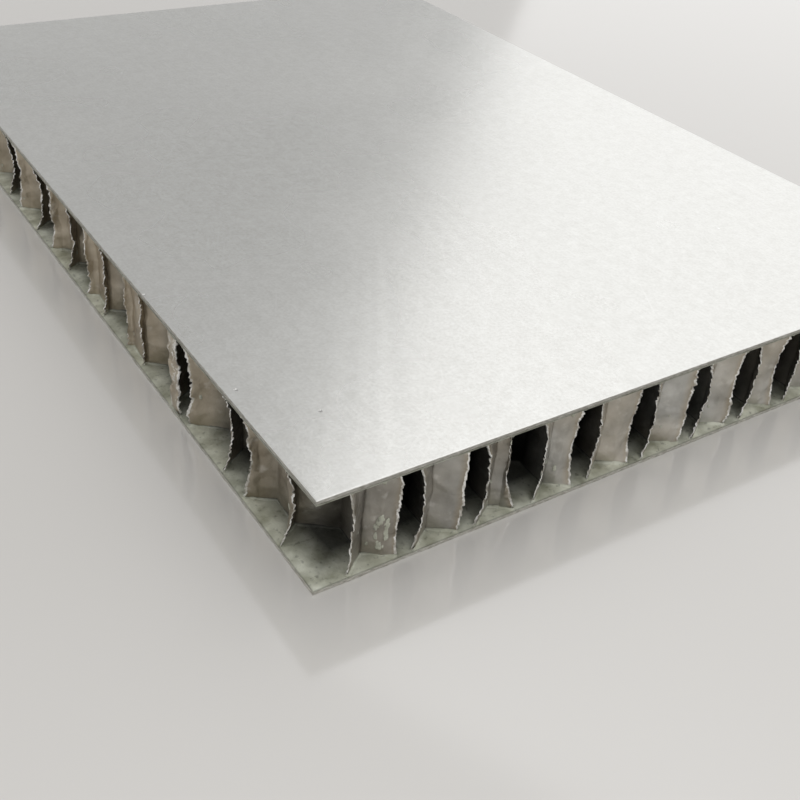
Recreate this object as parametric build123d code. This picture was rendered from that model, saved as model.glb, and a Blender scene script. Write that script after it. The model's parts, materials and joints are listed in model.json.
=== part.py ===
from build123d import *
from functools import partial
import math
import os

# Aluminium honeycomb wall panel, a cut sample lying on its back sheet.
# Millimetres. The origin is at the centre of the back sheet's outer face,
# +X is across the foil strips, +Y is along them and +Z is up to the front sheet.

# Sheets and glue
panel_width = 210.0
panel_length = 297.0
panel_thickness = 25.0
sheet_thickness = 1.0
film_thickness = 0.2

# Honeycomb core
foil_thickness = 0.1
cell_across_flats = 16.76
row_spacing = 14.4  # from one row of glued stripes to the next, along the strips
glued_length = 8.6  # length of one glued stripe
cell_wander = 0.35  # how far a glued stripe may lie off its row and column
pull = 2.0  # how far the most displaced column of stripes lies off its even place
pulled_column_number = 8
pull_column_count = 2.5  # columns from there to where the pull fades

# How the saw cuts lie across the core, in columns and rows of glued stripes
side_lead_share = 0.635  # of a column, from the left cut to the first column at the near end
end_lead_share = 1.611  # of a row, from the near cut to the first row that starts a strip
lean_share = 0.086  # of a column that a strip drifts sideways from one row to the next

# What the saw left at the cut edges of the core
lip_length = 4.0  # stretch of a wall's end that is bent
longest_lip_share = 0.7  # of the wall that ends in it
core_inset = 0.1  # the foil ends this far inside the sheets' edges
bow_angle = 38.0  # largest sideways turn of a bent end, half way up
edge_steps = 5  # straight stretches of a ragged edge
tear_depth = 0.8  # how far the ragged edge bites into the wall
least_glued_length = 4.0  # a scrap with less glue than this fell off in the cut
fold_angle = 85.0  # one strip's first end came loose at the top and is folded back
folded_strip_number = 5

# Worked out from the sizes above
column_pitch = cell_across_flats / 2
core_bottom = sheet_thickness + film_thickness
core_height = panel_thickness - 2 * core_bottom
lean = lean_share * column_pitch / row_spacing
along_stripe = Vector(lean, 1, 0).normalized()
across_stripe = Vector(along_stripe.Y, -along_stripe.X, 0)
core_half_width = panel_width / 2 - core_inset
core_half_length = panel_length / 2 - core_inset
straight = 1e-9  # a run shorter than this is none
spare_count = 2  # rows and strips worked out beyond the panel's edges


def uneven(column, row, phase):
    """A fixed irregular number from -1 to 1 for one place in the core."""
    return math.sin(2.4 * column + 3.7 * row * row + phase)


def stripe_centre(column, row):
    """The middle of the glued stripe where two strips meet."""
    fading = math.exp(-(((column - pulled_column_number) / pull_column_count) ** 2))
    y = (end_lead_share + row) * row_spacing
    x = (side_lead_share + column) * column_pitch + lean * y - pull * fading
    corner = Vector(-panel_width / 2, -panel_length / 2, 0)
    wander = Vector(uneven(column, row, 0.0), uneven(column, row, 1.7), 0) * cell_wander
    return corner + Vector(x, y, 0) + wander


def strip_line(strip, rows):
    """The centre line of one endless foil strip, which zigzags between two columns of stripes."""
    points = []
    for row in rows:
        on_left = (strip + row) % 2 == 0
        column = strip if on_left else strip + 1
        inward = across_stripe * (foil_thickness / 2 if on_left else -foil_thickness / 2)
        centre = stripe_centre(column, row) + inward
        half_stripe = along_stripe * (glued_length / 2)
        points += [centre - half_stripe, centre + half_stripe]
    return points


def share_inside(start, end):
    """The first and last share of a straight wall that lies inside the panel, or None."""
    first, last = 0.0, 1.0
    run = end - start
    limits = ((start.X, run.X, core_half_width), (start.Y, run.Y, core_half_length))
    for place, travel, limit in limits:
        if abs(travel) < straight:
            if abs(place) > limit:
                return None
            continue
        low, high = sorted(((-limit - place) / travel, (limit - place) / travel))
        first, last = max(first, low), min(last, high)
    return (first, last) if last > first else None


def sawn_pieces(line):
    """The stretches of a strip that are left once it is sawn, each with whether its ends are glued."""
    pieces, current, glued = [], [], 0.0
    starts_glued = False
    for number, (start, end) in enumerate(zip(line, line[1:])):
        span = share_inside(start, end)
        if span is None:
            continue
        run = end - start
        is_stripe = number % 2 == 0
        if not current:
            current = [start + run * span[0]]
            starts_glued = is_stripe
        current.append(start + run * span[1])
        if is_stripe:
            glued += run.length * (span[1] - span[0])
        if span[1] < 1.0:
            if glued >= least_glued_length:
                pieces.append((current, starts_glued, is_stripe))
            current, glued = [], 0.0
    return pieces


def cut_face(point):
    """The outward direction of the cut face at this point, and the way the saw dragged the foil there."""
    if core_half_width - abs(point.X) < core_half_length - abs(point.Y):
        return Vector(math.copysign(1, point.X), 0, 0), Vector(0, -1, 0)
    return Vector(0, math.copysign(1, point.Y), 0), Vector(1, 0, 0)


def band(line):
    """The outline of a foil along its centre line, with mitred folds."""
    half = foil_thickness / 2
    left, right = [], []
    for number, point in enumerate(line):
        before = (point - line[number - 1]).normalized() if number else None
        after = (line[number + 1] - point).normalized() if number < len(line) - 1 else None
        tangent = ((before or after) + (after or before)).normalized()
        normal = Vector(-tangent.Y, tangent.X, 0)
        along = after or before
        mitre = half / (normal.X * -along.Y + normal.Y * along.X)
        left.append(point + normal * mitre)
        right.append(point - normal * mitre)
    return left + right[::-1]


def bent_turns(strip, at_start, glued, side, seed):
    """How far the end of a wall is turned, at each step up its ragged edge."""
    shares = [step / edge_steps for step in range(edge_steps + 1)]
    if glued:
        return [0.0 for share in shares]
    if strip == folded_strip_number and at_start:
        return [-side * fold_angle * min(1.0, 2 * share) for share in shares]
    largest = side * bow_angle * (0.65 + 0.35 * uneven(seed, 1, 0.6))
    return [largest * math.sin(math.pi * share) for share in shares]


def wall_end(fold, direction, length, turns_for, seed):
    """The bent, ragged end of a wall: a fan of creases between its straight root and its edge."""
    outward, drag = cut_face(fold + direction * length)
    side = math.copysign(1, direction.cross(drag).Z)
    room = length * direction.dot(outward)
    bite = min(tear_depth, length / 2)
    edge = []
    for step, turn in enumerate(turns_for(side)):
        turned = direction.rotate(Axis.Z, turn)
        torn = bite * (0.5 + 0.5 * uneven(seed, step, 0.9))
        reach = room / max(turned.dot(outward), room / length) - torn
        height = core_bottom + core_height * step / edge_steps
        edge.append(fold + turned * reach + Vector(0, 0, height))
    root = [fold + Vector(0, 0, core_bottom + core_height), fold + Vector(0, 0, core_bottom)]
    middle = edge_steps // 2
    creases = [(root[1], edge[k], edge[k + 1]) for k in range(middle)]
    creases += [(root[1], edge[middle], root[0])]
    creases += [(root[0], edge[k], edge[k + 1]) for k in range(middle, edge_steps)]
    half = Vector(-direction.Y, direction.X, 0) * (foil_thickness / 2)
    faces = []
    for shift in (half, -half):
        faces += [Face(Wire.make_polygon([p + shift for p in crease])) for crease in creases]
    rim = edge + root
    for start, end in zip(rim, rim[1:] + rim[:1]):
        corners = [start + half, end + half, end - half, start - half]
        faces.append(Face(Wire.make_polygon(corners)))
    return Solid(Shell(faces))


def foil_piece(line, starts_glued, ends_glued, strip, seed):
    """One sawn stretch of folded foil, standing between the glue films."""
    middle = list(line)
    ends = []
    for last, previous, glued in ((0, 1, starts_glued), (-1, -2, ends_glued)):
        wall = line[last] - line[previous]
        direction = wall.normalized()
        length = min(lip_length, longest_lip_share * wall.length)
        end_seed = seed - last / 2
        middle[last] = line[last] - direction * length
        turns_for = partial(bent_turns, strip, last == 0, glued, seed=end_seed)
        ends.append(wall_end(middle[last], direction, length, turns_for, end_seed))
    floor = [Vector(p.X, p.Y, core_bottom) for p in band(middle)]
    foil = extrude(make_face(Polyline(*floor, close=True)), amount=core_height)
    for end in ends:
        foil += end
    return foil.solids()[0]


def kind_of(line):
    """What a sawn stretch is: a strip from one end of the panel to the other, or a scrap at one side."""
    if abs(line[-1].Y - line[0].Y) > 2 * core_half_length - foil_thickness:
        return "foil_strip"
    return "foil_scrap_left" if line[0].X < 0 else "foil_scrap_right"


def core():
    """Every piece of the honeycomb core by name."""
    row_count = math.ceil(panel_length / row_spacing)
    column_count = math.ceil(panel_width / column_pitch)
    drift = math.ceil(row_count * abs(lean_share))
    rows = range(-math.ceil(end_lead_share) - spare_count, row_count + spare_count)
    strips = range(-drift - spare_count, column_count + drift + spare_count)
    pieces, counts = {}, {}
    for strip in strips:
        found = sawn_pieces(strip_line(strip, rows))
        for number, (line, starts_glued, ends_glued) in enumerate(found):
            kind = kind_of(line)
            counts[kind] = counts.get(kind, 0) + 1
            seed = strip + number / math.pi
            name = f"{kind}_{counts[kind]:02d}"
            pieces[name] = foil_piece(line, starts_glued, ends_glued, strip, seed)
    return pieces


def layer(bottom, thickness):
    """A flat sheet or glue film over the whole panel."""
    flat = Rectangle(panel_width, panel_length)
    return Pos(0, 0, bottom) * extrude(flat, amount=thickness)


def build():
    """All pieces of the panel by name."""
    top = panel_thickness
    parts = {
        "back_sheet": layer(0.0, sheet_thickness),
        "back_glue_film": layer(sheet_thickness, film_thickness),
        "front_glue_film": layer(top - core_bottom, film_thickness),
        "front_sheet": layer(top - sheet_thickness, sheet_thickness),
    }
    return parts | core()


if __name__ == "__main__":
    os.makedirs("parts", exist_ok=True)
    for name, shape in build().items():
        export_step(shape, f"parts/{name}.step")
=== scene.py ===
import json
import math

import bpy
import numpy as np
from mathutils import Matrix, Vector, noise

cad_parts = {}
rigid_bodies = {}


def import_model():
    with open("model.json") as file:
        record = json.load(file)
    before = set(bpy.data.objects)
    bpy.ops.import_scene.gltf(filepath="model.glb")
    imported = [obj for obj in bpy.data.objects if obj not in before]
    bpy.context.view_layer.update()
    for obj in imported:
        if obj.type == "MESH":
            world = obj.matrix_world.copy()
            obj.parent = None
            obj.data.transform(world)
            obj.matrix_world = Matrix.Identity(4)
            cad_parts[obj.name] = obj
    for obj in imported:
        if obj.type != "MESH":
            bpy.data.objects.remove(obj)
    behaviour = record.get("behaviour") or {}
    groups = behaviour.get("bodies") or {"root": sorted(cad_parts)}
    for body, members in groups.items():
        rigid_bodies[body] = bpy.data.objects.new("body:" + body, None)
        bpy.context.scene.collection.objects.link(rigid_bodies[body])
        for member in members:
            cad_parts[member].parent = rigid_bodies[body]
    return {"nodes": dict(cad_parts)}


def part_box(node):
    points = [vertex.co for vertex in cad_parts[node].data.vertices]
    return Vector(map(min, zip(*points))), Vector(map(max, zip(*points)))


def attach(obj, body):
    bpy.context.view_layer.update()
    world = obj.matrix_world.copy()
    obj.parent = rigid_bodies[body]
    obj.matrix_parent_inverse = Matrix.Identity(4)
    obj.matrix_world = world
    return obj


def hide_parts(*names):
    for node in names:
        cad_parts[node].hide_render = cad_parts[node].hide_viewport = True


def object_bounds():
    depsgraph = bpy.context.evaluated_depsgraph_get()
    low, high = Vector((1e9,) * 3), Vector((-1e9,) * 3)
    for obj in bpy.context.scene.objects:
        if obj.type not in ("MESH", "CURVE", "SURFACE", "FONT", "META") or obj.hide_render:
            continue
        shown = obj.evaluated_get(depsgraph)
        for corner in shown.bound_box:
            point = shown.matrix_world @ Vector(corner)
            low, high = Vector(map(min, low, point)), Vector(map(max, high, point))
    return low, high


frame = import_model()
cad_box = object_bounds()

MM = 0.001

# The panel's sizes, read from its solids
LOW, HIGH = (Vector(corner) for corner in cad_box)
CORE_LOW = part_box("back_glue_film")[1].z
CORE_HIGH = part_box("front_glue_film")[0].z
CORE_HEIGHT = CORE_HIGH - CORE_LOW
FOIL_NODES = [name for name in frame["nodes"] if name.startswith("foil")]
FOIL_THICKNESS = 0.1 * MM

# How a copied mesh is merged
MERGE_DISTANCE = 0.002 * MM
FLAT_TURN = math.radians(0.5)
SQUARE_TURN = math.radians(60)

# How finely the foil is worked up near the cuts
WORKED_DEPTH = 13 * MM
ROW_SPACING = 0.7 * MM
LONG_EDGE = 1.5 * MM  # a longer edge is divided
EDGE_CUTS = 8
TOOTH_EDGE = 0.5 * MM  # a longer edge of a sawn end is divided once more

# What handling and the saw did to the foil
SECOND_NOISE = Vector((31.4, 15.9, 26.5))  # where the noise for the second direction is read
DENT = 0.5 * MM
DENT_SCALE = 7 * MM
RIPPLE = 0.2 * MM
RIPPLE_SCALE = 1.7 * MM
CREASE = 0.95 * MM
CREASE_SCALE = 5.5 * MM
CREASE_WAY = Vector((0.94, 0.34, 0))
BITE = 0.8 * MM
BROAD_TOOTH = 1.5 * MM
FINE_TOOTH = 0.55 * MM
TOOTH_SQUEEZE = 1.6  # teeth are this much shorter than wide
BURR = 0.17 * MM
BURR_SCALE = 0.5 * MM

# The wall that the left cut grazed, in from that cut and up from the near corner
GRAZED_DEPTH = 5 * MM
GRAZED_START = 63 * MM
GRAZED_END = 72 * MM
GRAZED_SCALE = 1.6 * MM

# The adhesive's bed and the fillets on it
GLUED_DEPTH = 22 * MM  # the bed is worked up this far in from the cuts
BED_CUTS = 180
BED_CROSS_CUTS = 15
LUMP = 0.28 * MM
LUMP_SCALES = (3.5 * MM, 1.2 * MM)
FILLET_RISE = 0.7 * MM
FILLET_ROWS = (0.28, 0.6)  # shares of the rise
FILLET_SPREAD = 0.38 * MM
FILLET_LEAST = 0.03 * MM
FILLET_CURVE = 2.2
FILLET_SCALES = (2.6 * MM, 0.9 * MM)

# Drops of adhesive on the foils
SPLASH_COUNT = 110
SPLASH_SIZE = 0.75 * MM
SPLASH_DEPTH = 4.5 * MM
SPLASH_LEVELS = (0.6 * MM, 9 * MM)  # above the back sheet's bed
HANGING_LEVELS = (-2.5 * MM, -0.2 * MM)  # below the front sheet's bed
SPLASH_TRIES = 40
FOIL_STEP, FACE_STEP, TRY_STEP = 7, 7919, 104729  # primes that scatter the drops
DROP_FLATNESS = 0.28
SMEAR_MIDDLE = (17.6 * MM, 7.5 * MM)  # in from the left cut and up
SMEAR_REACH = (1.5 * MM, 5.0 * MM)
SMEAR_DEPTH = 4 * MM
SMEAR_SCALE = 1.3 * MM
SMEAR_LUMP = 0.75 * MM

# Face sheets
EDGE_STRIP = 0.5 * MM
EDGE_BEVEL = 0.13 * MM
SHEET_CUTS = 380
SAW_DEPTH = 0.3 * MM  # the saw's marks reach this far in
SAW_BITE = 0.14 * MM
SAW_SCALE = 1.3 * MM
EDGE_ROLL = 0.05 * MM
NICK_RADIUS = 0.5 * MM
NICK_DEPTH = 0.5 * MM
NICKS = ((2.7 * MM, 39.6 * MM), (14.9 * MM, 24.8 * MM), (0.6 * MM, 85 * MM))  # from the near left corner

# Colours and patterns of the sheets, with the patterns in features per metre
SATIN_DARK, SATIN_LIGHT = (0.70, 0.695, 0.665), (0.83, 0.83, 0.805)
SAWN_DARK, SAWN_LIGHT = (0.29, 0.28, 0.24), (0.66, 0.65, 0.61)
SCRATCH_COLOUR, CRUMB_COLOUR = (0.93, 0.93, 0.92, 1), (0.96, 0.96, 0.95, 1)
GRAIN, MOTTLE, CLOUD, CRUMBS = 1500.0, 330.0, 18.0, 75.0
ROLLING_LINES = (1500.0, 30.0, 1.0)
SAW_MARKS = (700.0, 700.0, 6000.0)
SCRATCH_SIZE = (0.03, 0.0009, 1.0)
SCRATCHES = ((62, 0.72), (-38, 0.73), (8, 0.74))  # degrees, and how rare

# Colours and patterns of the foil
PLAIN_DARK, PLAIN_LIGHT = (0.35, 0.342, 0.315), (0.61, 0.60, 0.565)
BROWN_DARK, BROWN_LIGHT = (0.31, 0.25, 0.165), (0.54, 0.46, 0.34)
TORN_DARK, TORN_LIGHT = (0.48, 0.455, 0.40), (0.95, 0.94, 0.90)
SCUFF_COLOUR = (0.86, 0.84, 0.79, 1)
STAINS, WARM_PATCHES, SCUFFS, SMALL_DENTS = 150.0, 38.0, 260.0, 330.0
TORN_PATCHES, FINE_SPECKS = 420.0, 1500.0

# Colours and patterns of the adhesive
GLUE_DARK, GLUE_LIGHT = (0.34, 0.345, 0.26), (0.74, 0.75, 0.64)
GLUE_CLOUD, GLUE_GRAIN, GLUE_DIRT = 230.0, 1300.0, 850.0

# Floor, room and camera
FLOOR_SIZE = 40.0
FLOOR_GAP = 0.01 * MM
FLOOR_COLOUR = (0.70, 0.68, 0.65, 1)
ROOM_ENDS = ((0.0, 0.62), (0.9, 1.0))  # share of the height, and brightness
ROOM_MIDDLES = ((0.4, 0.4), (0.66, 0.42))
ROOM_STRENGTH = 1.15
EYE = Vector((-0.18327, -0.27963, 0.15874))
AHEAD = Vector((0.4791, 0.6582, -0.5807)).normalized()
RIGHT = Vector((0.8363, -0.5431, 0.0743)).normalized()
LENS, SENSOR = 48.3, 36.0


def deselect_all():
    if bpy.context.object and bpy.context.object.mode != "OBJECT":
        bpy.ops.object.mode_set(mode="OBJECT")
    bpy.ops.object.select_all(action="DESELECT")


def take(objects):
    """Selects only these objects, the first one active."""
    deselect_all()
    for piece in objects:
        piece.select_set(True)
    bpy.context.view_layer.objects.active = objects[0]


def edit(objects):
    take(objects)
    bpy.ops.object.mode_set(mode="EDIT")


def leave_edit():
    bpy.ops.object.mode_set(mode="OBJECT")


def copy_of(node_name, name):
    """A free copy of a CAD node's mesh."""
    piece = bpy.data.objects.new(name, frame["nodes"][node_name].data.copy())
    bpy.context.scene.collection.objects.link(piece)
    piece.data.materials.clear()
    return piece


def weld(objects):
    """Merges the loose triangles of a copy into one surface."""
    edit(objects)
    bpy.ops.mesh.select_all(action="SELECT")
    bpy.ops.mesh.remove_doubles(threshold=MERGE_DISTANCE)
    bpy.ops.mesh.tris_convert_to_quads(face_threshold=FLAT_TURN, shape_threshold=SQUARE_TURN)
    leave_edit()


def two_scales(point, scales, weights):
    """Noise of a broad and a fine scale, added up."""
    return sum(weight * noise.noise(point / scale) for scale, weight in zip(scales, weights))


def join(objects):
    take(objects)
    bpy.ops.object.join()
    return bpy.context.object


def values(items, field, width=1):
    """One field of all the faces or vertices of a mesh."""
    found = np.empty(len(items) * width, np.float32)
    items.foreach_get(field, found)
    return found.reshape(-1, width) if width > 1 else found


def depths(points):
    """How far points lie in from the nearest cut."""
    sides = [points[:, 0] - LOW.x, HIGH.x - points[:, 0], points[:, 1] - LOW.y, HIGH.y - points[:, 1]]
    return np.min(sides, axis=0)


def depth_inside(point):
    return min(point.x - LOW.x, HIGH.x - point.x, point.y - LOW.y, HIGH.y - point.y)


def select_faces(mesh, wanted):
    """Marks these faces as selected for the next visit to edit mode, and nothing else."""
    mesh.vertices.foreach_set("select", np.zeros(len(mesh.vertices), bool))
    mesh.edges.foreach_set("select", np.zeros(len(mesh.edges), bool))
    mesh.polygons.foreach_set("select", wanted)


def slice_along(normal, places):
    """Cuts all that is not hidden along parallel planes."""
    for place in places:
        bpy.ops.mesh.select_all(action="SELECT")
        bpy.ops.mesh.bisect(plane_co=Vector(normal) * place, plane_no=normal)


def slice_where(objects, chosen, normal, places):
    """Cuts only the faces that chosen(mesh) names."""
    for piece in objects:
        select_faces(piece.data, chosen(piece.data))
    edit(objects)
    bpy.ops.mesh.hide(unselected=True)
    slice_along(normal, places)
    bpy.ops.mesh.reveal()
    leave_edit()


def divide_edges(objects, chosen, cuts):
    """Divides the edges that chosen(mesh) names, and the faces between them."""
    for piece in objects:
        mesh = piece.data
        select_faces(mesh, np.zeros(len(mesh.polygons), bool))
        wanted = chosen(mesh)
        ends = values(mesh.edges, "vertices", 2).astype(int)
        held = np.zeros(len(mesh.vertices), bool)
        held[ends[wanted].ravel()] = True
        mesh.vertices.foreach_set("select", held)
        mesh.edges.foreach_set("select", wanted)
    take(objects)
    bpy.context.tool_settings.mesh_select_mode = (False, True, False)
    bpy.ops.object.mode_set(mode="EDIT")
    bpy.ops.mesh.subdivide(number_cuts=cuts)
    leave_edit()
    bpy.context.tool_settings.mesh_select_mode = (True, False, False)


def edge_sizes(mesh):
    """The length and the middle of every edge."""
    places = values(mesh.vertices, "co", 3)
    ends = values(mesh.edges, "vertices", 2).astype(int)
    first, second = places[ends[:, 0]], places[ends[:, 1]]
    return np.linalg.norm(second - first, axis=1), (first + second) / 2


def steps(start, end, spacing):
    count = int(abs(end - start) / spacing)
    return [start + (end - start) * (k + 1) / (count + 1) for k in range(count)]


def slice_border(objects, depth):
    """Cuts along the four planes that lie this far in from the cuts."""
    edit(objects)
    slice_along((1, 0, 0), [LOW.x + depth, HIGH.x - depth])
    slice_along((0, 1, 0), [LOW.y + depth, HIGH.y - depth])
    leave_edit()


def outward(point):
    """The way out through the nearest cut."""
    if min(point.x - LOW.x, HIGH.x - point.x) < min(point.y - LOW.y, HIGH.y - point.y):
        return Vector((math.copysign(1, point.x), 0, 0))
    return Vector((0, math.copysign(1, point.y), 0))


def inside_box(point):
    return Vector((min(max(point.x, LOW.x), HIGH.x), min(max(point.y, LOW.y), HIGH.y), point.z))


def smooth(share):
    """Eases a share in and out, and keeps it from 0 to 1."""
    share = min(max(share, 0.0), 1.0)
    return share * share * (3 - 2 * share)


def finish_piece(piece, material, nodes, angle=40):
    """Gives a piece its finish and hangs it on the panel in place of its solids."""
    take([piece])
    bpy.ops.object.shade_smooth_by_angle(angle=math.radians(angle))
    piece.data.materials.clear()
    piece.data.materials.append(material)
    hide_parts(*nodes)
    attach(piece, "root")


# Materials

def new_material(name):
    material = bpy.data.materials.new(name)
    material.use_nodes = True
    nodes = material.node_tree.nodes
    nodes.clear()
    output = nodes.new("ShaderNodeOutputMaterial")
    shader = nodes.new("ShaderNodeBsdfPrincipled")
    material.node_tree.links.new(shader.outputs["BSDF"], output.inputs["Surface"])
    return material, shader


def node(material, kind, inputs, **settings):
    made = material.node_tree.nodes.new(kind)
    for key, value in settings.items():
        setattr(made, key, value)
    for key, value in inputs.items():
        connect(material, value, made.inputs[key])
    return made


def connect(material, value, socket):
    if isinstance(value, bpy.types.NodeSocket):
        material.node_tree.links.new(value, socket)
    else:
        socket.default_value = value


def ramp(material, factor, stops):
    made = node(material, "ShaderNodeValToRGB", {"Fac": factor})
    elements = made.color_ramp.elements
    for element, (place, colour) in zip(elements, stops[:2]):
        element.position, element.color = place, (*colour, 1)
    for place, colour in stops[2:]:
        elements.new(place).color = (*colour, 1)
    return made.outputs["Color"]


def scaled(material, value, low, high, to_low, to_high):
    limits = {"Value": value, "From Min": low, "From Max": high, "To Min": to_low, "To Max": to_high}
    return node(material, "ShaderNodeMapRange", limits).outputs["Result"]


def math_node(material, operation, first, second):
    return node(material, "ShaderNodeMath", {0: first, 1: second}, operation=operation).outputs["Value"]


def noise_node(material, place, scale, detail):
    inputs = {"Vector": place, "Scale": scale, "Detail": detail}
    return node(material, "ShaderNodeTexNoise", inputs).outputs["Fac"]


def blend_colour(material, factor, first, second):
    inputs = {"Factor": factor, "A": first, "B": second}
    return node(material, "ShaderNodeMix", inputs, data_type="RGBA").outputs["Result"]


def blend_value(material, factor, first, second):
    inputs = {"Factor": factor, "A": first, "B": second}
    return node(material, "ShaderNodeMix", inputs).outputs["Result"]


def shade_colour(material, colour, amount):
    """A colour made darker, or brighter, by one factor."""
    inputs = {0: colour, "Scale": amount}
    return node(material, "ShaderNodeVectorMath", inputs, operation="SCALE").outputs["Vector"]


def bump(material, height, distance, strength=1.0, under=None):
    """Relief of a pattern, on top of another relief if there is one."""
    inputs = {"Height": height, "Strength": strength, "Distance": distance}
    if under:
        inputs["Normal"] = under
    return node(material, "ShaderNodeBump", inputs).outputs["Normal"]


def object_place(material):
    return node(material, "ShaderNodeTexCoord", {}).outputs["Object"]


def stretched(material, place, scale):
    """A place whose patterns are squeezed by this much along each axis."""
    return node(material, "ShaderNodeMapping", {"Vector": place, "Scale": scale}).outputs["Vector"]


def height_of(material, place):
    return node(material, "ShaderNodeSeparateXYZ", {"Vector": place}).outputs["Z"]


def distance_from(material, place, point):
    return node(material, "ShaderNodeVectorMath", {0: place, 1: point}, operation="DISTANCE").outputs["Value"]


def cut_distance(material, place):
    """How far in from the nearest cut, in metres."""
    size = node(material, "ShaderNodeVectorMath", {0: place}, operation="ABSOLUTE").outputs["Vector"]
    part = node(material, "ShaderNodeSeparateXYZ", {"Vector": size})
    across = math_node(material, "SUBTRACT", HIGH.x, part.outputs["X"])
    along = math_node(material, "SUBTRACT", HIGH.y, part.outputs["Y"])
    return math_node(material, "MINIMUM", across, along)


def grey(value):
    return (value, value, value)


def satin_pattern(material, place):
    """The mottled grain and faint rolling lines of a sheet, from 0 to 1."""
    grain = noise_node(material, place, GRAIN, 3.0)
    mottle = noise_node(material, place, MOTTLE, 3.0)
    lines = noise_node(material, stretched(material, place, ROLLING_LINES), 1.0, 2.0)
    return blend_value(material, 0.18, blend_value(material, 0.35, grain, mottle), lines)


def with_marks(material, place, colour):
    """Adds faint straight scratches in a few directions, and small crumbs."""
    for turn, rare in SCRATCHES:
        turned = {"Vector": place, "Rotation": (0, 0, math.radians(turn)), "Scale": SCRATCH_SIZE}
        along = node(material, "ShaderNodeMapping", turned, vector_type="TEXTURE").outputs["Vector"]
        pattern = noise_node(material, along, 1.0, 1.0)
        scratch = ramp(material, pattern, [(rare, grey(0)), (rare + 0.03, grey(0.16))])
        colour = blend_colour(material, scratch, colour, SCRATCH_COLOUR)
    crumbs = node(material, "ShaderNodeTexVoronoi", {"Vector": place, "Scale": CRUMBS}).outputs["Distance"]
    crumb = ramp(material, crumbs, [(0.018, grey(1.0)), (0.034, grey(0.0))])
    return blend_colour(material, crumb, colour, CRUMB_COLOUR)


def sheet_material():
    """Satin aluminium: mottled grain, faint rolling lines and scratches, dull brownish sawn edges."""
    material, shader = new_material("satin_sheet_aluminium")
    place = object_place(material)
    satin = satin_pattern(material, place)
    colour = ramp(material, satin, [(0.32, SATIN_DARK), (0.68, SATIN_LIGHT)])
    colour = with_marks(material, place, colour)
    sawn = scaled(material, cut_distance(material, place), 0.06 * MM, 0.22 * MM, 1.0, 0.0)
    marks = noise_node(material, stretched(material, place, SAW_MARKS), 1.0, 4.0)
    sawn_colour = ramp(material, marks, [(0.32, SAWN_DARK), (0.68, SAWN_LIGHT)])
    # Painted light: the sawn edge is drawn brighter the lower it lies (x1.3 at the floor, x0.95 at the top),
    # so the back sheet's edge shows lighter than the front sheet's.
    painted_light_lower_edge = scaled(material, height_of(material, place), 0.0, HIGH.z, 1.3, 0.95)
    sawn_colour = shade_colour(material, sawn_colour, painted_light_lower_edge)
    connect(material, blend_colour(material, sawn, colour, sawn_colour), shader.inputs["Base Color"])
    gloss = scaled(material, noise_node(material, place, CLOUD, 2.0), 0.3, 0.7, 0.25, 0.31)
    connect(material, blend_value(material, sawn, gloss, 0.5), shader.inputs["Roughness"])
    surface = bump(material, blend_value(material, sawn, satin, marks), 0.04 * MM, 0.3)
    for nick in NICKS:
        apart = distance_from(material, place, (LOW.x + nick[0], LOW.y + nick[1], HIGH.z))
        hollow = scaled(material, apart, 0.0, NICK_RADIUS, 0.0, 1.0)
        surface = bump(material, hollow, NICK_DEPTH, under=surface)
    connect(material, surface, shader.inputs["Normal"])
    shader.inputs["Metallic"].default_value = 1.0
    return material


def stained_foil(material, place, stain, rim):
    """Grey foil, brown in random patches; the brown beside its sawn ends and along the left cut is a painted
    warm reflection.
    """
    plain = ramp(material, stain, [(0.3, PLAIN_DARK), (0.7, PLAIN_LIGHT)])
    brown = ramp(material, stain, [(0.3, BROWN_DARK), (0.7, BROWN_LIGHT)])
    # Painted reflection: the foil is drawn browner within 16 mm of the left cut and beside its sawn ends,
    # standing in for the warm surroundings it reflects there.
    side = node(material, "ShaderNodeSeparateXYZ", {"Vector": place}).outputs["X"]
    painted_warm_reflection = scaled(material, side, LOW.x + 4 * MM, LOW.x + 16 * MM, 0.75, 0.0)
    painted_warm_reflection = math_node(material, "MAXIMUM", painted_warm_reflection, scaled(material, rim, 0.3, 0.85, 0.0, 0.7))
    patches = scaled(material, noise_node(material, place, WARM_PATCHES, 2.0), 0.4, 0.62, 0.0, 0.45)
    return blend_colour(material, math_node(material, "MAXIMUM", painted_warm_reflection, patches), plain, brown)


def torn_foil(material, place, rim, colour):
    """Bare, bright metal at the sawn ends, with an uneven border."""
    uneven = scaled(material, noise_node(material, place, FINE_SPECKS, 2.0), 0.0, 1.0, -0.11, 0.11)
    torn = ramp(material, math_node(material, "ADD", rim, uneven), [(0.86, grey(0.0)), (0.9, grey(1.0))])
    patchy = noise_node(material, place, TORN_PATCHES, 2.0)
    bare = ramp(material, patchy, [(0.36, TORN_DARK), (0.56, TORN_LIGHT)])
    return blend_colour(material, torn, colour, bare)


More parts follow.
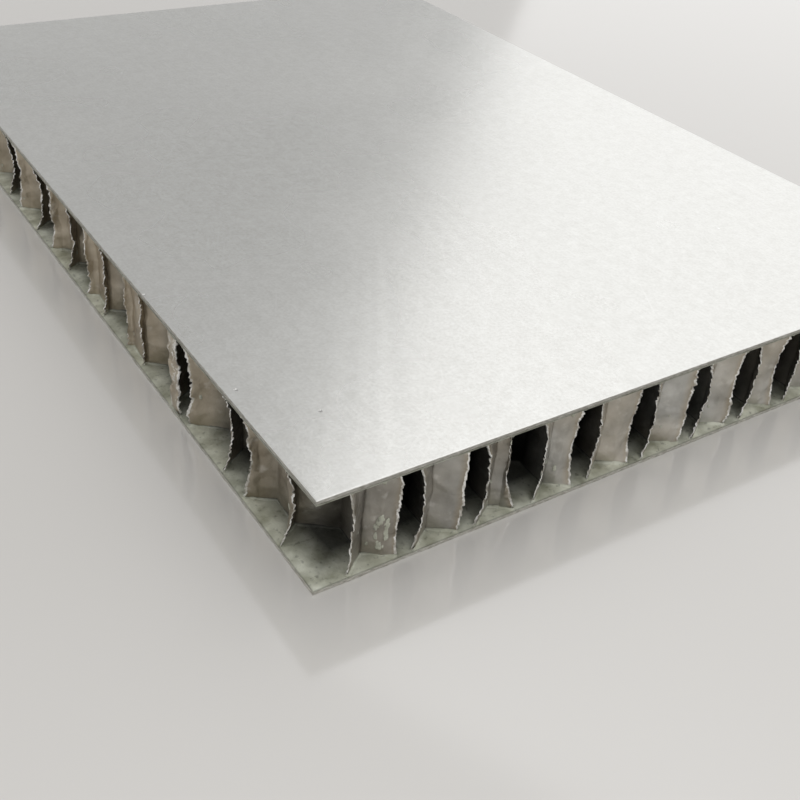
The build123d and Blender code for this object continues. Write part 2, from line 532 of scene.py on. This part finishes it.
def foil_material():
    """Rolled aluminium foil: warm grey, dented, bright where the saw tore it, with painted shade deep inside
    the cells and near the near corner.
    """
    material, shader = new_material("core_foil_aluminium")
    place = object_place(material)
    rim = node(material, "ShaderNodeAttribute", {}, attribute_name="rim").outputs["Fac"]
    stain = noise_node(material, place, STAINS, 4.0)
    colour = stained_foil(material, place, stain, rim)
    # Painted shade: the foil is drawn darker towards the near corner, at 0.72 within 20 mm of it, and
    # slightly brightened (1.05) beyond 75 mm.
    corner = distance_from(material, place, (LOW.x, LOW.y, CORE_LOW))
    colour = shade_colour(material, colour, scaled(material, corner, 20 * MM, 75 * MM, 0.72, 1.05))
    scuffs = noise_node(material, place, SCUFFS, 6.0)
    scuffed = ramp(material, scuffs, [(0.60, grey(0.0)), (0.74, grey(0.4))])
    colour = blend_colour(material, scuffed, colour, SCUFF_COLOUR)
    # Painted shade: the foil is drawn darker from 5.5 mm to 12 mm in from the cuts, down to 0.06, and this
    # shade is eased near the near corner so its cell's back wall stays lighter.
    painted_shade_eased_at_corner = scaled(material, corner, 18 * MM, 34 * MM, 0.6, 1.0)
    depth = math_node(material, "MULTIPLY", cut_distance(material, place), painted_shade_eased_at_corner)
    colour = shade_colour(material, colour, scaled(material, depth, 5.5 * MM, 12 * MM, 1.0, 0.06))
    connect(material, torn_foil(material, place, rim, colour), shader.inputs["Base Color"])
    connect(material, scaled(material, stain, 0.3, 0.7, 0.34, 0.5), shader.inputs["Roughness"])
    dents = noise_node(material, place, SMALL_DENTS, 4.0)
    connect(material, bump(material, dents, 0.6 * MM, 0.6), shader.inputs["Normal"])
    shader.inputs["Metallic"].default_value = 0.75
    return material


def painted_shade_fillet_mask(material, place, distance):
    """Where the fillets on the two beds lie deeper in, from 0 to 1, as the mask of their painted shade."""
    height = height_of(material, place)
    from_middle = math_node(material, "ABSOLUTE", math_node(material, "SUBTRACT", height, HIGH.z / 2), 0.0)
    lift = math_node(material, "SUBTRACT", CORE_HEIGHT / 2, from_middle)
    fillet = scaled(material, lift, 0.2 * MM, 0.8 * MM, 0.0, 1.0)
    fillet = math_node(material, "MULTIPLY", fillet, scaled(material, lift, 0.9 * MM, 1.2 * MM, 1.0, 0.0))
    return math_node(material, "MULTIPLY", fillet, scaled(material, distance, 2.5 * MM, 5 * MM, 0.0, 1.0))


def glue_material():
    """Cured adhesive: greenish grey, lumpy, with darker pits, with painted shade deep inside and on the
    fillets there, and rougher deep inside.
    """
    material, shader = new_material("cured_adhesive")
    place = object_place(material)
    cloud = noise_node(material, place, GLUE_CLOUD, 5.0)
    colour = ramp(material, cloud, [(0.3, GLUE_DARK), (0.7, GLUE_LIGHT)])
    dirt = noise_node(material, place, GLUE_DIRT, 6.0)
    soiled = {0: colour, 1: ramp(material, dirt, [(0.3, grey(0.6)), (0.42, grey(1.0))])}
    colour = node(material, "ShaderNodeVectorMath", soiled, operation="MULTIPLY").outputs["Vector"]
    distance = cut_distance(material, place)
    colour = shade_colour(material, colour, scaled(material, distance, 0.05 * MM, 0.3 * MM, 0.6, 1.0))
    # Painted shade: the adhesive is drawn darker from 2 mm to 9 mm in from the cuts, down to 0.1, and darker
    # still on the fillets deeper in.
    inner = scaled(material, distance, 2 * MM, 9 * MM, 1.0, 0.1)
    hidden = painted_shade_fillet_mask(material, place, distance)
    inner = math_node(material, "MULTIPLY", inner, scaled(material, hidden, 0.0, 1.0, 1.0, 0.2))
    connect(material, shade_colour(material, colour, inner), shader.inputs["Base Color"])
    relief = blend_value(material, 0.4, cloud, noise_node(material, place, GLUE_GRAIN, 3.0))
    connect(material, bump(material, relief, 0.4 * MM, 0.6), shader.inputs["Normal"])
    connect(material, scaled(material, inner, 0.0, 1.0, 0.95, 0.42), shader.inputs["Roughness"])
    return material


def floor_material():
    material, shader = new_material("pale_table")
    shader.inputs["Base Color"].default_value = FLOOR_COLOUR
    shader.inputs["Roughness"].default_value = 0.12
    shader.inputs["IOR"].default_value = 1.9
    return material


# The foil core

def tag_rims(piece):
    """Marks the sawn ends of a foil: its upright faces that are only as wide as the foil is thick."""
    mesh = piece.data
    rim = mesh.attributes.new("rim", "FLOAT", "POINT")
    for face in mesh.polygons:
        corners = [mesh.vertices[i].co for i in face.vertices]
        shortest = min((a - b).length for a, b in zip(corners, corners[1:] + corners[:1]))
        if abs(face.normal.z) < 0.7 and shortest < 1.4 * FOIL_THICKNESS:
            for i in face.vertices:
                rim.data[i].value = 1.0


def near_cut(mesh):
    """The upright faces that are worked up."""
    upright = np.abs(values(mesh.polygons, "normal", 3)[:, 2]) < 0.9
    return upright & (depths(values(mesh.polygons, "center", 3)) < WORKED_DEPTH)


def long_near_cut(mesh):
    """The edges near the cuts that are still too long to dent."""
    length, middle = edge_sizes(mesh)
    return (length > LONG_EDGE) & (depths(middle) < WORKED_DEPTH)


def coarse_rim(mesh):
    """The upright edges of the sawn ends that are still too long for fine teeth."""
    rim = values(mesh.attributes["rim"].data, "value")
    ends = values(mesh.edges, "vertices", 2).astype(int)
    length = edge_sizes(mesh)[0]
    return (rim[ends].min(axis=1) > 0.97) & (length > TOOTH_EDGE)


def crumple(piece):
    """Dents and ripples near the cuts, and a ragged, burred edge where the saw went through."""
    mesh = piece.data
    rim = mesh.attributes["rim"].data
    normals = [vertex.normal.copy() for vertex in mesh.vertices]
    for vertex, normal in zip(mesh.vertices, normals):
        point = vertex.co.copy()
        if depth_inside(point) > WORKED_DEPTH:
            continue
        marked = rim[vertex.index].value
        grazed = grazed_share(point)
        move = dented(point, grazed)
        near_edge = smooth((marked - 0.6) / 0.4)
        if near_edge > 0:
            move -= outward(point) * tooth(point) * BITE * near_edge
            move += burr(point, normal) * smooth((marked - 0.8) / 0.2)
        if grazed > 0:
            rim[vertex.index].value = max(marked, 0.66 + 0.24 * grazed)
        vertex.co = inside_box(point + move)


def sideways_noise(point):
    """Two independent noises, as a level vector."""
    return Vector((noise.noise(point), noise.noise(point + SECOND_NOISE), 0))


def dented(point, grazed):
    """How far dents, ripples and creases move a point, which is held at its top and its foot."""
    height = (point.z - CORE_LOW) / CORE_HEIGHT
    held = min(1.0, 4 * height, 4 * (1 - height)) if 0 < height < 1 else 0.0
    loose = smooth(1 - depth_inside(point) / WORKED_DEPTH) * held
    dent = sideways_noise(point / DENT_SCALE) * DENT
    ripple = sideways_noise(point / RIPPLE_SCALE) * RIPPLE * (1 + 3 * grazed)
    fold = abs(noise.noise(point / CREASE_SCALE + Vector((5, 1, 2)))) * CREASE
    return (Vector((dent.x + ripple.x, dent.y + ripple.y, 0)) + CREASE_WAY * fold) * loose


def tooth(point):
    """How far the saw bit in at a point of a sawn end, as a share of the bite."""
    squeezed = Vector((point.x, point.y, point.z * TOOTH_SQUEEZE))
    return max(0.0, 0.45 + two_scales(squeezed, (BROAD_TOOTH, FINE_TOOTH), (0.55, 0.6)))


def burr(point, normal):
    """How far the saw pushed the foil's edge out to both sides."""
    rough = 0.35 + 0.9 * abs(noise.noise(point / BURR_SCALE + Vector((7, 3, 1))))
    return Vector((normal.x, normal.y, 0)) * BURR * rough


def grazed_share(point):
    """How much of the grazed wall's roughness reaches a point, from 0 to 1."""
    along = point.y - LOW.y
    depth = point.x - LOW.x
    if depth > GRAZED_DEPTH or not GRAZED_START < along < GRAZED_END:
        return 0.0
    patchy = 0.75 + 0.8 * noise.noise(Vector((point.x, point.y * 2, point.z / 2)) / GRAZED_SCALE)
    return min(1.0, max(0.0, patchy * smooth(1.6 * (1 - depth / GRAZED_DEPTH))))


def foil_core(material):
    pieces = {name: copy_of(name, name.replace("foil_", "core_")) for name in FOIL_NODES}
    objects = list(pieces.values())
    weld(objects)
    for piece in objects:
        tag_rims(piece)
    slice_border(objects, WORKED_DEPTH)
    slice_where(objects, near_cut, (0, 0, 1), steps(CORE_LOW, CORE_HIGH, ROW_SPACING))
    divide_edges(objects, long_near_cut, EDGE_CUTS)
    divide_edges(objects, coarse_rim, 1)
    for name, piece in pieces.items():
        crumple(piece)
        finish_piece(piece, material, [name])


# Adhesive

def glue_fillets(base, rise):
    """The ridge that the adhesive makes along the foot of every foil, near the cuts."""
    feet = join([copy_of(name, "feet") for name in FOIL_NODES])
    weld([feet])
    edit([feet])
    bpy.ops.mesh.select_all(action="SELECT")
    top = (0, 0, base + rise)
    bpy.ops.mesh.bisect(plane_co=top, plane_no=(0, 0, 1), clear_outer=rise > 0, clear_inner=rise < 0)
    slice_along((0, 0, 1), [base + rise * share for share in FILLET_ROWS])
    leave_edit()
    divide_edges([feet], long_near_cut, EDGE_CUTS)
    mesh = feet.data
    normals = [vertex.normal.copy() for vertex in mesh.vertices]
    for vertex, normal in zip(mesh.vertices, normals):
        up = min(1.0, abs(vertex.co.z - base) / abs(rise))
        flat = Vector((normal.x, normal.y, 0))
        if flat.length > 0:
            flat.normalize()
        lumpy = 0.8 + two_scales(vertex.co, FILLET_SCALES, (1.5, 0.7))
        spread = FILLET_SPREAD * max(0.1, lumpy) * (1 - up) ** FILLET_CURVE + FILLET_LEAST
        drop = Vector((0, 0, -rise * 0.35 * up * max(0.0, 1.1 - lumpy)))
        vertex.co = inside_box(vertex.co + flat * spread + drop)
    return feet


def glue_bed(name, low, high, facing):
    """A glue film whose inner face is lumpy near the cuts."""
    bed = plate(name, low, high)
    slice_border([bed], GLUED_DEPTH)
    poke_middle(bed, GLUED_DEPTH)
    divide_edges([bed], lambda mesh: border_edges(mesh, GLUED_DEPTH, 100 * MM), BED_CUTS)
    divide_edges([bed], lambda mesh: border_edges(mesh, GLUED_DEPTH, 0.9 * GLUED_DEPTH), BED_CROSS_CUTS)
    face = high.z if facing > 0 else low.z
    for vertex in bed.data.vertices:
        depth = depth_inside(vertex.co)
        if abs(vertex.co.z - face) < 0.01 * MM and 0.1 * MM < depth < GLUED_DEPTH - 0.1 * MM:
            lump = two_scales(vertex.co, LUMP_SCALES, (1.0, 0.5))
            vertex.co.z += facing * LUMP * max(0.0, lump + 0.25)
    return bed


def poke_middle(piece, depth):
    """Gives the plain middle of both broad faces a centre point, so that its border can be divided alone."""
    mesh = piece.data
    select_faces(mesh, depths(values(mesh.polygons, "center", 3)) > depth)
    take([piece])
    bpy.context.tool_settings.mesh_select_mode = (False, False, True)
    bpy.ops.object.mode_set(mode="EDIT")
    bpy.ops.mesh.poke()
    leave_edit()
    bpy.context.tool_settings.mesh_select_mode = (True, False, False)


def border_edges(mesh, depth, longer_than):
    """The edges of the border strips that are longer than this."""
    length, middle = edge_sizes(mesh)
    return (length > longer_than) & (depths(middle) < depth + 0.01 * MM)


def lumpy_drop():
    """The drop of adhesive that all the splashes and lumps are copies of."""
    deselect_all()
    bpy.ops.mesh.primitive_ico_sphere_add(subdivisions=2, radius=1)
    drop = bpy.context.object
    for vertex in drop.data.vertices:
        vertex.co *= 1 + 0.45 * noise.noise(vertex.co * 1.3)
    return drop


def splashes(foils, base, levels):
    """Drops of adhesive that stuck to the foils near the cuts, at these levels from a bed."""
    drop = lumpy_drop()
    copies = []
    for number in range(SPLASH_COUNT):
        faces = foils[(number * FOIL_STEP) % len(foils)].data.polygons
        for attempt in range(SPLASH_TRIES):
            face = faces[(number * FACE_STEP + attempt * TRY_STEP) % len(faces)]
            level = levels[0] < face.center.z - base < levels[1]
            if abs(face.normal.z) < 0.3 and level and depth_inside(face.center) < SPLASH_DEPTH:
                copies.append(placed_drop(drop, face, number, SPLASH_SIZE))
                break
    bpy.data.objects.remove(drop)
    return copies


def smear(foils):
    """The ring of adhesive that was wiped onto the first wide wall of the near cut."""
    drop = lumpy_drop()
    copies = []
    for foil in foils:
        for face in foil.data.polygons:
            across = (face.center.x - LOW.x - SMEAR_MIDDLE[0]) / SMEAR_REACH[0]
            up = (face.center.z - LOW.z - SMEAR_MIDDLE[1]) / SMEAR_REACH[1]
            patchy = 0.08 + 0.5 * noise.noise(face.center / SMEAR_SCALE)
            on_ring = abs(math.hypot(across, up) - 0.8) < patchy
            if on_ring and face.center.y < LOW.y + SMEAR_DEPTH and face.normal.y < -0.3:
                copies.append(placed_drop(drop, face, face.index, SMEAR_LUMP))
    bpy.data.objects.remove(drop)
    return copies


def placed_drop(drop, face, number, largest):
    """A flattened copy of the drop on a face, with a size and width that depend on its number."""
    size = largest * (0.35 + 0.65 * abs(noise.noise(Vector((number * 1.37, 0.5, 0)))))
    turn = face.normal.to_track_quat("Z", "Y").to_matrix().to_4x4()
    shape = Matrix.Diagonal((size, size * (1.0 + 0.8 * (number % 3) / 2), size * DROP_FLATNESS, 1))
    copy = bpy.data.objects.new("drop", drop.data.copy())
    bpy.context.scene.collection.objects.link(copy)
    copy.data.transform(Matrix.Translation(face.center) @ turn @ shape)
    for vertex in copy.data.vertices:
        vertex.co = inside_box(vertex.co)
    return copy


def adhesive(material):
    foils = [piece for piece in bpy.data.objects if piece.name.startswith("core_")]
    beds = (("back_glue_film", "back_glue_bed", 1), ("front_glue_film", "front_glue_bed", -1))
    for node_name, name, facing in beds:
        low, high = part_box(node_name)
        bed = glue_bed(name, low, high, facing)
        base = CORE_LOW if facing > 0 else CORE_HIGH
        parts = [bed, glue_fillets(base, facing * FILLET_RISE)]
        if facing > 0:
            parts += splashes(foils, base, SPLASH_LEVELS) + smear(foils)
        else:
            parts += splashes(foils, base, HANGING_LEVELS)
        bed = join(parts)
        bed.name = name
        finish_piece(bed, material, [node_name], 60)


# Face sheets

def plate(name, low, high):
    """A flat box between two corners."""
    deselect_all()
    centre = (Vector(low) + Vector(high)) / 2
    bpy.ops.mesh.primitive_cube_add(size=1, location=centre)
    piece = bpy.context.object
    piece.name = name
    piece.scale = Vector(high) - Vector(low)
    bpy.ops.object.transform_apply(location=True, rotation=True, scale=True)
    return piece


def face_sheet(name, low, high):
    """A sheet with rounded, slightly ragged sawn edges."""
    piece = plate(name, low, high)
    edit([piece])
    bpy.ops.mesh.select_all(action="SELECT")
    bpy.ops.mesh.bevel(offset=EDGE_BEVEL, segments=2, affect="EDGES")
    leave_edit()
    slice_border([piece], EDGE_STRIP)
    poke_middle(piece, EDGE_STRIP)
    divide_edges([piece], lambda mesh: border_edges(mesh, EDGE_STRIP, 100 * MM), SHEET_CUTS)
    middle = (low.z + high.z) / 2
    for vertex in piece.data.vertices:
        if depth_inside(vertex.co) < SAW_DEPTH:
            way = Vector((vertex.co.x, vertex.co.y, 0)) / SAW_SCALE
            upper = vertex.co.z > middle
            bite = 0.5 + 0.6 * noise.noise(way + Vector((0, 0, 5 if upper else 9)))
            bite += 0.4 * noise.noise(way * 0.2)
            vertex.co -= outward(vertex.co) * SAW_BITE * max(0.0, bite)
            rolled = EDGE_ROLL * max(0.0, noise.noise(way * 0.7 + Vector((3, 0, 2))))
            vertex.co.z += -rolled if upper else rolled
    return piece


def face_sheets(material):
    for node_name, name in (("back_sheet", "back_face_sheet"), ("front_sheet", "front_face_sheet")):
        piece = face_sheet(name, *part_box(node_name))
        finish_piece(piece, material, [node_name])


# Floor, light and camera

def studio():
    """A pale floor in a soft room, with a wide lamp behind the panel and a small one in front."""
    deselect_all()
    bpy.ops.mesh.primitive_plane_add(size=FLOOR_SIZE, location=(0, 0, LOW.z - FLOOR_GAP))
    floor = bpy.context.object
    floor.name = "table_top"
    floor.data.materials.append(floor_material())
    soft_room()
    lamp("wide_soft_back_right", place=(1.19, 0.5, 0.85), target=(0.05, 0.0, 0.0), size=1.5, power=4.7)
    lamp("front_fill", place=(-0.25, -1.0, 0.75), target=(0, 0, 0), size=0.8, power=1.2)


def soft_room():
    """A pale room, brightest overhead and a little brighter at the horizon."""
    world = bpy.data.worlds.new("soft_room")
    bpy.context.scene.world = world
    world.use_nodes = True
    tree = world.node_tree
    way = tree.nodes.new("ShaderNodeTexCoord")
    part = tree.nodes.new("ShaderNodeSeparateXYZ")
    level = tree.nodes.new("ShaderNodeValToRGB")
    tree.links.new(way.outputs["Generated"], part.inputs["Vector"])
    tree.links.new(part.outputs["Z"], level.inputs["Fac"])
    stops = level.color_ramp.elements
    for stop, (height, brightness) in zip(stops, ROOM_ENDS):
        stop.position, stop.color = height, (*grey(brightness), 1)
    for height, brightness in ROOM_MIDDLES:
        stops.new(height).color = (*grey(brightness), 1)
    tree.links.new(level.outputs["Color"], tree.nodes["Background"].inputs["Color"])
    tree.nodes["Background"].inputs["Strength"].default_value = ROOM_STRENGTH


def lamp(name, place, target, size, power):
    light = bpy.data.lights.new(name, "AREA")
    light.shape = "SQUARE"
    light.size = size
    light.energy = power
    holder = bpy.data.objects.new(name, light)
    holder.location = place
    holder.rotation_euler = (Vector(target) - Vector(place)).to_track_quat("-Z", "Y").to_euler()
    bpy.context.scene.collection.objects.link(holder)


def camera():
    """Over the near corner, looking down along the panel's diagonal."""
    lens = bpy.data.cameras.new("view")
    lens.lens = LENS
    lens.sensor_width = SENSOR
    lens.clip_start = 0.01
    holder = bpy.data.objects.new("view", lens)
    bpy.context.scene.collection.objects.link(holder)
    turn = Matrix((RIGHT, RIGHT.cross(AHEAD), -AHEAD)).transposed().to_4x4()
    holder.matrix_world = Matrix.Translation(EYE) @ turn
    bpy.context.scene.camera = holder


foil_core(foil_material())
adhesive(glue_material())
face_sheets(sheet_material())
studio()
camera()
bpy.context.scene.view_settings.view_transform = "Standard"
